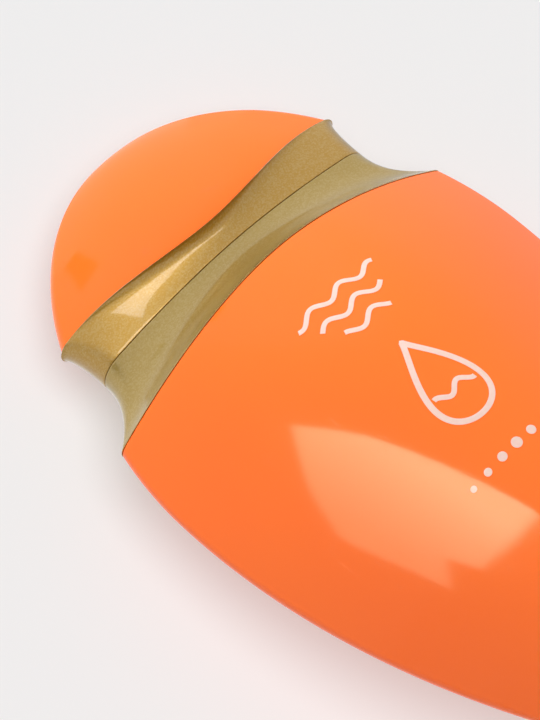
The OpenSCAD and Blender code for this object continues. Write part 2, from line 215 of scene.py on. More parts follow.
class ClosureSizes(bpy.types.PropertyGroup):
    parting: length("Parting", "Height of the parting plane above the shoulder",
                    (base_high + lid_low) / 2 - base_low)
    gap: length("Gap", "Gap between base and lid", lid_low - base_high)
    proud: length("Proud", "How far the rim stands proud of the bottle", 0.15 * MM)
    groove: length("Groove", "Gap that shows between base and lid", 0.06 * MM)
    fillet: length("Fillet", "Radius of the closure's small edges", 0.15 * MM)
    dome_fillet: length("Dome fillet", "Radius of the dome's lower edge, which leaves a fine groove",
                        0.32 * MM)
    waist_width: length("Waist width", "Width at the parting plane", 50.2 * MM)
    waist_front: length("Waist front", "Depth of the waist's front face", 7.3 * MM)
    waist_back: length("Waist back", "Depth of the waist's back face", 13.4 * MM)
    waist_edge: length("Waist edge", "Radius of the waist's side edges", 4.2 * MM)
    cove: power("Cove", "Power of the curve from shoulder to waist", 2.2)
    wall: length("Wall", "Wall of the closure", 1.1 * MM)
    deck_drop: length("Deck drop", "Depth of the deck under the parting plane", 0.6 * MM)
    deck: length("Deck", "Thickness of the deck", 1.2 * MM)
    spout: length("Spout", "Diameter of the spout's hole in the deck", 6.4 * MM)
    web: length("Web", "Thickness of the web in the lid", 1.0 * MM)
    web_level: length("Web level", "Height of the web above the parting plane", 2.2 * MM)
    stem: length("Stem", "Diameter of the plug's stem in the web", 5.2 * MM)
    rib: length("Rib", "Height of the rib inside the dome", 1.8 * MM)
    rib_clearance: length("Rib clearance", "Gap between rib and dome", 0.1 * MM)
    lip: length("Lip", "How far the frame's lip stands proud of the dome", 0.3 * MM)
    dome_width: length("Dome width", "Width of the dome at its edge", 52.3 * MM)
    dome_front: length("Dome front", "Depth of the dome at the thumb lip", 9.2 * MM)
    dome_back: length("Dome back", "Depth of the dome at the back", 14.0 * MM)
    dome_edge_level: length("Dome edge level", "Height of the dome's edge at its sides", 17.3 * MM)
    lip_dip: length("Lip dip", "How far the dome's edge dips to the front", 4.0 * MM)
    lip_curve: power("Lip curve", "Power of that dip across the front", 2.2)
    dome_sink: length("Dome sink", "Depth of the dome curve's centre under its edge", 25.0 * MM)
    dome_full: power("Dome fullness", "Power of the dome's front curve", 1.6)
    dome_blunt: power("Dome bluntness", "Power that rounds that curve over the top", 0.76)
    dome_side: length("Dome side edge", "Radius of the dome's side edges", 2.6 * MM)
    dome_wall: length("Dome wall", "Wall of the dome", 1.3 * MM)
    dome_roof: length("Dome roof", "Wall at the top of the dome", 2.1 * MM)


class HingeSizes(bpy.types.PropertyGroup):
    pad_width: length("Pad width", "Width of the flat pads at the hinge", 13.0 * MM)
    pad_height: length("Pad height", "Height of each pad", 3.0 * MM)
    pad_depth: length("Pad depth", "Depth of each pad", 2.4 * MM)
    film_length: length("Film length", "Length of the film across the parting plane", 1.0 * MM)
    film_width: length("Film width", "Width of the hinge film", 6.0 * MM)
    film: length("Film", "Thickness of the hinge film", 0.35 * MM)
    strap_width: length("Strap width", "Width of each strap", 1.8 * MM)
    strap_gap: length("Strap gap", "Gap between film and strap", 0.9 * MM)
    strap_length: length("Strap length", "Length of each strap", 3.2 * MM)
    strap: length("Strap", "Thickness of each strap", 0.4 * MM)


class PrintSizes(bpy.types.PropertyGroup):
    stroke: length("Stroke", "Width of the wavy lines", 0.7 * MM)
    outline: length("Outline", "Width of the drop's line", 0.8 * MM)
    ripple_level: length("Ripple level", "Height of the top ripple", 66.0 * MM)
    ripple_step: length("Ripple step", "Distance from a ripple down to the next", 3.1 * MM)
    ripple_half: length("Ripple half", "Half width of the top ripple", 7.2 * MM)
    ripple_taper: length("Ripple taper", "How much less that is for each ripple below", 1.8 * MM)
    ripple_rise: length("Ripple rise", "Height of a ripple's waves over its middle", 0.7 * MM)
    ripple_wave: length("Ripple wave", "Length of one wave of a ripple", 5.236 * MM)
    drop_level: length("Drop level", "Height of the drop's middle", 46.5 * MM)
    drop_swell: length("Drop swell", "How far the sides of the drop swell", 5.6 * MM)
    drop_rise: length("Drop rise", "Half height of the drop", 7.2 * MM)
    inner_drop: length("Inner drop", "Depth of the inner wave under the drop's middle", 2.2 * MM)
    inner_half: length("Inner half", "Half width of the inner wave", 3.1 * MM)
    inner_rise: length("Inner rise", "Height of the inner wave over its middle", 0.6 * MM)
    inner_wave: length("Inner wave", "Length of one inner wave", 3.927 * MM)
    dot_level: length("Dot level", "Height of the row of dots", 33.5 * MM)
    dot_pitch: length("Dot pitch", "Distance from dot to dot", 2.6 * MM)
    dot_radius: length("Dot radius", "Radius of the middle dot", 0.75 * MM)
    dot_taper: length("Dot taper", "How much smaller each dot further out is", 0.11 * MM)


class BottleFinishes(bpy.types.PropertyGroup):
    orange: paint("Orange", "Colour of the orange plastic", "#f97a14")
    deep_orange: paint("Deep orange", "Colour of its redder clouds", "#f87310")
    # Painted light: the red that the orange emits, so that its shaded parts stay bright; the plastic is no
    # lamp.
    painted_glow: paint("Glow", "Colour of the orange pigment's fluorescence", "#ff3000")
    gold: paint("Gold", "Colour of the base's pearl plastic", "#b29449")
    warm_gold: paint("Warm gold", "Colour of the lid's pearl plastic, which is a shade warmer", "#b68a2a")
    gold_flake: paint("Gold flake", "Colour of its brighter flakes", "#d4c08a")
    print_ink: paint("Print", "Colour of the screen print", "#fbdcd2")
    print_thin: paint("Thin print", "Colour of the print where its ink is thin", "#f7cdbd")
    natural: paint("Natural", "Colour of the white plastic", "#f3f0e8")
    backdrop: paint("Backdrop", "Colour of the backdrop", "#efefef")
    floor: paint("Floor", "Colour of the floor", "#e3e3e3")


def settings(name):
    """A group of sizes or colours, as the scene holds it."""
    return getattr(bpy.context.scene, name)


def crowned(s, exponent):
    """Rise of a face's curve at s from 0 to 1, with its middle softened so that it has no ridge."""
    soft = SOFTENED_MIDDLE
    low = soft ** exponent
    return ((s * s + soft * soft) ** (exponent / 2) - low) / ((1 + soft * soft) ** (exponent / 2) - low)


def lens_point(i, half, front, back, radius):
    """Point i of a lens outline: the front from left to right, the right edge, the back, the left edge."""
    crown = settings("bottle_sizes").face_crown
    count = FACE_POINTS + EDGE_POINTS
    behind = i >= count
    k = i - count if behind else i
    depth, other = (back, front) if behind else (front, back)
    turn = -1 if behind else 1
    if k < FACE_POINTS:
        s = 2 * k / (FACE_POINTS - 1) - 1
        core, rise = half - radius, depth - radius
        slope = Vector((crown * rise / core * math.copysign(abs(s) ** (crown - 1), s), -1)).normalized()
        x = core * s + radius * slope.x
        y = -rise * (1 - crowned(abs(s), crown)) + radius * slope.y
        return Vector((turn * x, turn * y))
    start = -math.atan2(1, crown * (depth - radius) / (half - radius))
    end = math.atan2(1, crown * (other - radius) / (half - radius))
    swing = start + (end - start) * (k - FACE_POINTS + 1) / (EDGE_POINTS + 1)
    return Vector((turn * (half - radius + radius * math.cos(swing)), turn * radius * math.sin(swing)))


def lens(half, front, back, radius, z):
    """A whole lens outline at height z."""
    return [lens_point(i, half, front, back, radius).to_3d() + Vector((0, 0, z)) for i in range(RING_POINTS)]


def round_ring(radius, like, z):
    """A circle whose points stand in the directions of a lens's points, so that the two can be joined."""
    half = max(p.x for p in like)
    depth = max(p.y for p in like)
    out = []
    for p in like:
        way = Vector((p.x / half, p.y / depth)).normalized()
        out.append(Vector((radius * way.x, radius * way.y, z)))
    return out


def between(first, second, share):
    return [a.lerp(b, share) for a, b in zip(first, second)]


def spread(drop, level, full, top, bottom, height):
    """A size that is full at one level under the shoulder and falls off as a parabola above and below."""
    if drop < level:
        return full - (full - top) * ((level - drop) / level) ** 2
    return full - (full - bottom) * ((drop - level) / (height - level)) ** 2


def body_halves(z):
    """Half width and half thickness of the bottle at height z."""
    b = settings("bottle_sizes")
    drop = b.shoulder_height - z
    width = spread(drop, b.widest_drop, b.widest, b.shoulder_width, b.foot_width, b.shoulder_height)
    thick = spread(drop, b.thickest_drop, b.thickest, b.shoulder_thickness, b.foot_thickness,
                   b.shoulder_height)
    return width / 2, thick / 2


def body_ring(z, inset):
    """The bottle's outline at height z, moved in by an inset."""
    b = settings("bottle_sizes")
    half, thick = body_halves(z)
    thick -= inset
    return lens(half - inset, thick, thick, min(b.side_edge, thick * BODY_EDGE_SHARE), z)


def base_ring(z, inset):
    """The outline of the closure's base at height z, moved in by an inset."""
    b, c = settings("bottle_sizes"), settings("closure_sizes")
    rise = (z - b.shoulder_height) / c.parting
    hollow = max(0.0, 1 - rise) ** c.cove
    half = c.waist_width / 2 + (b.shoulder_width / 2 + c.proud - c.waist_width / 2) * hollow
    rim = b.shoulder_thickness / 2 + c.proud
    front = c.waist_front + (rim - c.waist_front) * hollow
    back = c.waist_back + (rim - c.waist_back) * hollow
    edge = b.side_edge + (c.waist_edge - b.side_edge) * rise
    return lens(half - inset, front - inset, back - inset, edge - inset, z)


def dome_section(z, inset):
    """Half width, front depth, back depth and edge radius of the dome at height z."""
    b, c = settings("bottle_sizes"), settings("closure_sizes")
    edge = b.shoulder_height + c.dome_edge_level
    reach = dome_high - edge + c.dome_sink
    q = min(1.0, (z - edge + c.dome_sink) / reach)
    low_q = c.dome_sink / reach
    half = c.dome_width / 2 * math.sqrt((1 - q * q) / (1 - low_q * low_q))
    low = edge - c.lip_dip + DOME_FOOT
    rise = min(1.0, max(0.0, z - low) / (dome_high - low))
    swell = (1 - rise ** c.dome_full) ** c.dome_blunt
    front, back = c.dome_front * swell - inset, c.dome_back * swell - inset
    return half - inset, front, back, min(c.dome_side, DOME_EDGE_SHARE * min(front, back))


def dome_point(i, z, inset):
    return lens_point(i, *dome_section(z, inset)).to_3d() + Vector((0, 0, z))


def dome_edge(i):
    """Height of the dome's edge at point i: level at the sides and back, dipping at the thumb lip."""
    b, c = settings("bottle_sizes"), settings("closure_sizes")
    ahead = max(0.0, -lens_point(i, 1, 1, 1, UNIT_EDGE).y)
    return b.shoulder_height + c.dome_edge_level - c.lip_dip * ahead ** c.lip_curve


def dome_ring(share, inset, lift=0.0, drop=0.0):
    """The dome's outline at a share of the way from its edge to its top, which lift and drop bring closer."""
    ring = []
    for i in range(RING_POINTS):
        low = dome_edge(i) + lift
        high = dome_high - drop
        ring.append(dome_point(i, low + (high - low) * math.sin(math.pi / 2 * share), inset))
    return ring


def dome_rim(rise, inset):
    """The dome's outline along its own edge, moved up and in."""
    return [dome_point(i, dome_edge(i) + rise, inset) for i in range(RING_POINTS)]


def frame_point(i, share, inset):
    """Point i of the lid's frame, which rises from the parting plane and curls out to the dome's edge."""
    c = settings("closure_sizes")
    low = lens_point(i, c.waist_width / 2 - inset, c.waist_front - inset, c.waist_back - inset,
                     c.waist_edge - inset)
    high = dome_point(i, dome_edge(i), inset - c.lip)
    curl = 1 - math.cos(math.pi / 2 * share)
    z = lid_low + (high.z - lid_low) * math.sin(math.pi / 2 * share)
    return Vector((low.x + (high.x - low.x) * curl, low.y + (high.y - low.y) * curl, z))


def frame_ring(share, inset, lift=0.0):
    return [frame_point(i, share, inset) + Vector((0, 0, lift)) for i in range(RING_POINTS)]


def extrude_ring(bm, verts, edges, points):
    """Extrudes a closed loop and moves the new loop onto the given points."""
    made = bmesh.ops.extrude_edge_only(bm, edges=edges)["geom"]
    fresh = {v for v in made if isinstance(v, bmesh.types.BMVert)}
    new_verts = [next(e.other_vert(v) for e in v.link_edges if e.other_vert(v) in fresh) for v in verts]
    new_edges = [e for e in made if isinstance(e, bmesh.types.BMEdge)
                 and e.verts[0] in fresh and e.verts[1] in fresh]
    for v, p in zip(new_verts, points):
        v.co = p
    return new_verts, new_edges


def loft(bm, rings, first=None, last=None, closed=False):
    """Skins rings of equal count. first and last are pole points; closed joins the two ends."""
    verts = [bm.verts.new(p) for p in rings[0]]
    edges = [bm.edges.new((verts[i - 1], verts[i])) for i in range(len(verts))]
    start = list(edges)
    for ring in rings[1:] + ([rings[0]] if closed else []):
        verts, edges = extrude_ring(bm, verts, edges, ring)
    if closed:
        bmesh.ops.remove_doubles(bm, verts=bm.verts, dist=WELD)
    for rim, pole in ((start, first), (edges, last)):
        if pole is not None:
            face = bmesh.ops.contextual_create(bm, geom=rim)["faces"]
            centre = bmesh.ops.poke(bm, faces=face)["verts"]
            for v in centre:
                v.co = Vector(pole)


def as_object(bm, name, material):
    """Links the mesh to the scene as an object at the origin."""
    mesh = bpy.data.meshes.new(name)
    bm.to_mesh(mesh)
    bm.free()
    mesh.materials.append(material)
    piece = bpy.data.objects.new(name, mesh)
    bpy.context.scene.collection.objects.link(piece)
    return piece


def finished(bm, name, material, body=None):
    """Turns the mesh into a smooth piece, which rides on a body when one is given."""
    bmesh.ops.recalc_face_normals(bm, faces=bm.faces)
    piece = as_object(bm, name, material)
    for polygon in piece.data.polygons:
        polygon.use_smooth = True
    piece.data.set_sharp_from_angle(angle=SHARP_ANGLE)
    if body:
        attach(piece, body)
    return piece


def quarter(radius, count):
    """Steps of a quarter round, as pairs of inset and height."""
    turns = [math.pi / 2 * k / count for k in range(count + 1)]
    return [(radius * (1 - math.sin(t)), radius * (1 - math.cos(t))) for t in turns]


def soft_block(bm, low, high, radius):
    """A box with rounded edges, between two corners."""
    low, high = Vector(low), Vector(high)
    made = bmesh.ops.create_cube(bm, size=1)["verts"]
    bmesh.ops.scale(bm, vec=high - low, verts=made)
    bmesh.ops.translate(bm, vec=(low + high) / 2, verts=made)
    edges = {e for v in made for e in v.link_edges}
    bmesh.ops.bevel(bm, geom=list(edges), offset=radius, segments=3, profile=0.5, affect="EDGES", material=-1)


def hinge_pad(bm, low, high):
    """The flat pad at the back, between two heights, that the hinge ends in."""
    c, h = settings("closure_sizes"), settings("hinge_sizes")
    soft_block(bm, (-h.pad_width / 2, c.waist_back - h.pad_depth, low),
               (h.pad_width / 2, c.waist_back, high), c.fillet)


def add_node(tree, kind, inputs=None, **values):
    """Adds a node with its settings. An input is a value, or another node's output to link."""
    node = tree.nodes.new(kind)
    for key, value in values.items():
        setattr(node, key, value)
    for key, value in (inputs or {}).items():
        if isinstance(value, bpy.types.NodeSocket):
            tree.links.new(value, node.inputs[key])
        else:
            node.inputs[key].default_value = value
    return node


def new_material(name):
    material = bpy.data.materials.new(name)
    material.use_nodes = True
    tree = material.node_tree
    tree.nodes.clear()
    place = add_node(tree, "ShaderNodeTexCoord").outputs["Object"]
    return material, tree, place


def noise(tree, place, size, detail=2.0):
    """Cloudy noise from 0 to 1, with forms of a size in mm."""
    return add_node(tree, "ShaderNodeTexNoise", {"Vector": place, "Scale": 1 / (size * MM),
                                                 "Detail": detail}).outputs["Fac"]


def cells(tree, place, size):
    """The outputs of a cell pattern, with cells of a size in mm."""
    return add_node(tree, "ShaderNodeTexVoronoi", {"Vector": place, "Scale": 1 / (size * MM)}).outputs


def remap(tree, value, start, end, low, high, **values):
    """Maps a value that runs from start to end onto low to high."""
    return add_node(tree, "ShaderNodeMapRange", {"Value": value, "From Min": start, "From Max": end,
                                                 "To Min": low, "To Max": high}, **values).outputs["Result"]


def larger(tree, first, second):
    return add_node(tree, "ShaderNodeMath", {0: first, 1: second}, operation="MAXIMUM").outputs[0]


def tinted(tree, share, first, second):
    """A share of the second colour in the first."""
    return add_node(tree, "ShaderNodeMix", {0: share, 6: first, 7: second}, data_type="RGBA").outputs[2]


def mixed(tree, share, first, second):
    """A share of the second shader in the first."""
    return add_node(tree, "ShaderNodeMixShader", {0: share, 1: first, 2: second}).outputs[0]


def bump(tree, height, strength, depth, **base):
    """The normal of a surface with a relief of a depth in mm, on top of a base Normal if one is given."""
    return add_node(tree, "ShaderNodeBump", {"Height": height, "Strength": strength, "Distance": depth * MM,
                                             **base}).outputs["Normal"]


def surface(tree, shader):
    add_node(tree, "ShaderNodeOutputMaterial", {"Surface": shader})


def solid(tree, colour, rough, **more):
    """Ends a material with one opaque surface."""
    inputs = {"Base Color": colour, "Roughness": rough}
    inputs.update({key.replace("_", " "): value for key, value in more.items()})
    surface(tree, add_node(tree, "ShaderNodeBsdfPrincipled", inputs).outputs[0])


def blown_orange():
    """Blow-moulded polyethylene with a gloss finish: a deep, even orange under a clear reflection.

    The blown skin ripples a little, which makes the edge of a reflection waver. Handling leaves fine
    short scratches that show only where a lamp is mirrored. A faint red emission is painted on as light,
    so that shaded parts stay a vivid red orange.
    """
    f = settings("bottle_finishes")
    material, tree, place = new_material("orange_blow_moulded_gloss")
    scars = []
    for turn, size in (((0.3, 0.5, 0.9), 5.0), ((0.4, -0.8, 0.2), 3.0)):
        along = add_node(tree, "ShaderNodeMapping", {"Vector": place, "Rotation": turn,
                                                     "Scale": (1.0, 16.0, 1.0)}).outputs["Vector"]
        scars.append(remap(tree, noise(tree, along, size, 3.0), 0.68, 0.74, 0.0, 1.0))
    scar = larger(tree, *scars)
    wave = bump(tree, noise(tree, place, 3, 3.0), 0.4, 0.012)
    # The emission paints light onto the orange, so that shaded parts stay a vivid red orange.
    solid(tree, tinted(tree, noise(tree, place, 24), f.orange, f.deep_orange),
          remap(tree, scar, 0.0, 1.0, 0.09, 0.2), Normal=bump(tree, scar, 0.3, 0.012, Normal=wave), IOR=1.5,
          Emission_Color=f.painted_glow, Emission_Strength=0.26)
    return material


def pearl_gold(name, tint):
    """Injection-moulded polypropylene with pearl pigment: a warm olive gold that mirrors its neighbours.

    Platelets of mica lie under a clear skin, so it has a soft metallic body, a sharp highlight on top and
    single platelets that glint. Real ones are under 0.1 mm; they are drawn at 0.2 mm so that they show.
    """
    material, tree, place = new_material(name)
    flake = add_node(tree, "ShaderNodeSeparateColor", {"Color": cells(tree, place, 0.2)["Color"]}).outputs
    share = remap(tree, flake["Red"], 0.3, 1.0, 0.0, 0.25)
    solid(tree, tinted(tree, share, tint, settings("bottle_finishes").gold_flake),
          remap(tree, noise(tree, place, 5), 0.0, 1.0, 0.3, 0.4), Metallic=0.6, IOR=1.5, Coat_Weight=1.0,
          Coat_Roughness=0.05, Normal=bump(tree, flake["Green"], 0.2, 0.012))
    return material


def natural_white():
    """Injection-moulded natural polypropylene: milky white with a soft sheen."""
    material, tree, place = new_material("natural_white_moulded")
    haze = noise(tree, place, 1.5)
    solid(tree, settings("bottle_finishes").natural, remap(tree, haze, 0.0, 1.0, 0.32, 0.45), IOR=1.49,
          Normal=bump(tree, haze, 0.3, 0.01))
    return material


def gasket_foam():
    """Closed-cell polyethylene foam: white and matt, with fine cells."""
    material, tree, place = new_material("closed_cell_foam")
    pits = bump(tree, cells(tree, place, 0.3)["Distance"], 0.6, 0.05)
    solid(tree, settings("bottle_finishes").natural, 0.8, Normal=pits)
    return material


def screen_ink():
    """Screen-printed ink: pale and satin, with the orange showing faintly where it is thin."""
    f = settings("bottle_finishes")
    material, tree, place = new_material("pale_screen_ink")
    solid(tree, tinted(tree, noise(tree, place, 0.6), f.print_ink, f.print_thin), 0.3)
    return material


def base_gold():
    return pearl_gold("olive_gold_pearl_moulded", settings("bottle_finishes").gold)


def lid_gold():
    return pearl_gold("warm_gold_pearl_moulded", settings("bottle_finishes").warm_gold)


def stock(name, maker):
    """The material of that name, made the first time that a piece asks for it."""
    return bpy.data.materials.get(name) or maker()


class BOTTLE_OT_shell(bpy.types.Operator):
    """Blown bottle with its hollow foot, rounded shoulder and neck"""

    bl_idname = "bottle.shell"
    bl_label = "Bottle shell"

    def execute(self, context):
        b = settings("bottle_sizes")
        low = b.foot_edge
        high = b.shoulder_height - b.shoulder_edge
        side_levels = 84
        tread = b.foot_edge + b.foot_rim
        rings = [body_ring(b.foot_hollow * rise, tread + run * MM) for rise, run in FOOT_COVE]
        rings += [body_ring(up, inset) for inset, up in quarter(b.foot_edge, 12)]
        rings += [body_ring(low + (high - low) * k / side_levels, 0) for k in range(1, side_levels + 1)]
        rings += [body_ring(b.shoulder_height - up, inset)
                  for inset, up in reversed(quarter(b.shoulder_edge, 10)[:-1])]
        top = rings[-1]
        root = round_ring(b.neck / 2, top, b.shoulder_height)
        rings += [between(top, root, 0.5), root]
        neck_top = body_high - b.shoulder_height
        outer, proud = b.neck / 2, b.neck / 2 + b.bead
        profile = [(outer, b.bead_level - b.bead / 2), (proud, b.bead_level - b.bead / 3),
                   (proud, b.bead_level + b.bead / 3), (outer, b.bead_level + 1.5 * b.bead),
                   (outer, neck_top - NECK_EDGE), (outer - NECK_EDGE, neck_top),
                   (b.neck_bore / 2, neck_top), (b.neck_bore / 2, -b.wall)]
        rings += [round_ring(radius, top, b.shoulder_height + up) for radius, up in profile]
        roof = b.shoulder_height - b.wall
        rings += [body_ring(roof, b.wall + b.shoulder_edge)]
        floor = b.foot_hollow + b.wall
        top_inside, low_inside = roof - INNER_EASE, floor + 3 * INNER_EASE
        rings += [body_ring(top_inside + (low_inside - top_inside) * k / 24, b.wall) for k in range(25)]
        rings += [body_ring(floor + INNER_EASE, b.wall + INNER_EASE),
                  body_ring(floor, b.wall + 3 * INNER_EASE)]
        bm = bmesh.new()
        loft(bm, rings, first=(0, 0, b.foot_hollow), last=(0, 0, floor))
        piece = finished(bm, "bottle_shell", stock("orange_blow_moulded_gloss", blown_orange), "bottle")
        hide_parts("bottle_body")
        return {"FINISHED"}


class BOTTLE_OT_closure_base(bpy.types.Operator):
    """Lower half of the closure: cove, rim, deck round the spout and hinge pad"""

    bl_idname = "bottle.closure_base"
    bl_label = "Closure base"

    def execute(self, context):
        b, c = settings("bottle_sizes"), settings("closure_sizes")
        foot = b.shoulder_height
        top = foot + c.parting - c.groove / 2
        levels = 40
        rings = [base_ring(foot, c.wall), base_ring(foot, c.fillet)]
        rings += [base_ring(foot + up, inset) for inset, up in quarter(c.fillet, 4)[1:]]
        rings += [base_ring(foot + c.fillet + (top - foot - 2 * c.fillet) * k / levels, 0)
                  for k in range(1, levels + 1)]
        rings += [base_ring(top - up, inset) for inset, up in reversed(quarter(c.fillet, 4)[:-1])]
        rim = base_ring(top, c.wall - SOFT_EDGE)
        deck_top = foot + c.parting - c.deck_drop
        deck_edge = base_ring(deck_top, c.wall)
        hole = round_ring(c.spout / 2, deck_edge, deck_top)
        rings += [rim, base_ring(top - SOFT_EDGE, c.wall), deck_edge]
        rings += [between(deck_edge, hole, share) for share in (0.25, 0.5, 0.75)] + [hole]
        under_edge = base_ring(deck_top - c.deck, c.wall)
        under_hole = round_ring(c.spout / 2, under_edge, deck_top - c.deck)
        rings += [under_hole, between(under_hole, under_edge, 0.5)]
        rings += [base_ring(deck_top - c.deck - (deck_top - c.deck - foot) * k / 10, c.wall)
                  for k in range(10)]
        bm = bmesh.new()
        loft(bm, rings, closed=True)
        hinge_pad(bm, top - settings("hinge_sizes").pad_height, top)
        piece = finished(bm, "closure_lower", stock("olive_gold_pearl_moulded", base_gold), "bottle")
        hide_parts("closure_base")
        return {"FINISHED"}


class BOTTLE_OT_lid_frame(bpy.types.Operator):
    """Upper half of the closure: the curl to the dome's edge, its rib, web and hinge pad"""

    bl_idname = "bottle.lid_frame"
    bl_label = "Lid frame"

    def execute(self, context):
        c = settings("closure_sizes")
        levels = 40
        rib_in = c.dome_wall + c.rib_clearance
        foot = lid_low - (c.gap - c.groove) / 2
        rings = [[Vector((p.x, p.y, foot + up)) for p in frame_ring(0, inset)]
                 for inset, up in quarter(c.fillet, 4)]
        start = foot + c.fillet - lid_low
        rings += [frame_ring(k / levels, 0, start * (1 - k / levels)) for k in range(1, levels + 1)]
        rings += [[p + Vector((0, 0, CURL_EDGE)) for p in dome_rim(0, CURL_EDGE - c.lip)]]
        rings += [dome_rim(0, rib_in), dome_rim(c.rib, rib_in), dome_rim(c.rib, rib_in + c.wall)]
        for k in range(levels + 1):
            share = 1 - k / levels
            rings.append(frame_ring(share, c.wall * (1 + share), c.wall * share))
        bm = bmesh.new()
        loft(bm, rings, closed=True)
        level = lid_low - c.gap / 2 + c.web_level
        edge = []
        for i in range(RING_POINTS):
            rise = min(1.0, (level - lid_low) / (dome_edge(i) - lid_low))
            p = frame_point(i, math.asin(rise) / (math.pi / 2), c.wall / 2)
            edge.append(Vector((p.x, p.y, level)))
        up = Vector((0, 0, c.web))
        hole = round_ring(c.stem / 2, edge, level)
        web = [edge, between(edge, hole, 0.5), hole]
        loft(bm, web + [[p + up for p in ring] for ring in reversed(web)], closed=True)
        hinge_pad(bm, lid_low, lid_low + settings("hinge_sizes").pad_height)
        piece = finished(bm, "closure_upper", stock("warm_gold_pearl_moulded", lid_gold), "lid")
        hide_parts("lid_frame")
        return {"FINISHED"}


class BOTTLE_OT_dome(bpy.types.Operator):
    """Domed cap of the lid, with the thumb lip at its front"""

    bl_idname = "bottle.dome"
    bl_label = "Lid dome"

    def execute(self, context):
        c = settings("closure_sizes")
        levels = 72
        outer = [dome_ring((k - POLE_GAP) / levels, 0, c.dome_fillet) for k in range(levels, 0, -1)]
        outer += [dome_rim(up, inset) for inset, up in reversed(quarter(c.dome_fillet, 4))]
        inner = [dome_rim(0, c.dome_wall - SOFT_EDGE)]
        inner += [dome_ring(k / 24, c.dome_wall, SOFT_EDGE, c.dome_roof) for k in range(24)]
        bm = bmesh.new()
        loft(bm, outer + inner, first=(0, 0, dome_high), last=(0, 0, dome_high - c.dome_roof))
        piece = finished(bm, "dome_cap", stock("orange_blow_moulded_gloss", blown_orange), "lid")
        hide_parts("lid_dome")
        return {"FINISHED"}


class BOTTLE_OT_hinge(bpy.types.Operator):
    """Film and two straps that span the parting plane at the back"""

    bl_idname = "bottle.hinge"
    bl_label = "Hinge"

    def execute(self, context):
        b, c, h = settings("bottle_sizes"), settings("closure_sizes"), settings("hinge_sizes")
        z = b.shoulder_height + c.parting
        back = c.waist_back
        gold = stock("olive_gold_pearl_moulded", base_gold)
        half = h.film_width / 2
        bands = [("hinge_web", "hinge_film", -half, half, back - h.film, back, h.film_length / 2)]
        reach = half + h.strap_gap
        for side, name in ((-1, "hinge_strap_left"), (1, "hinge_strap_right")):
            left, right = sorted((side * reach, side * (reach + h.strap_width)))
            bands.append((name, "hinge_straps", left, right, back, back + h.strap, h.strap_length / 2))
        for name, node, left, right, near, far, half_height in bands:
            bm = bmesh.new()
            soft_block(bm, (left, near, z - half_height), (right, far, z + half_height), BAND_EDGE)
            along = [e for e in bm.edges if abs(e.verts[0].co.z - e.verts[1].co.z) > half_height]
            bmesh.ops.subdivide_edges(bm, edges=along, cuts=BAND_CUTS, use_grid_fill=True)
            piece = finished(bm, name, gold)
            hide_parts(node)
            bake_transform(piece)
        return {"FINISHED"}


class BOTTLE_OT_fittings(bpy.types.Operator):
    """Finishes of the spout, seal plug and gasket, whose CAD shapes stay"""

    bl_idname = "bottle.fittings"
    bl_label = "Spout, plug and gasket"

    def execute(self, context):
        for node, name, maker in (("spout", "natural_white_moulded", natural_white),
                                  ("seal_plug", "natural_white_moulded", natural_white),
                                  ("neck_gasket", "closed_cell_foam", gasket_foam)):
            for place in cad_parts[node].material_slots:
                place.material = stock(name, maker)
        return {"FINISHED"}


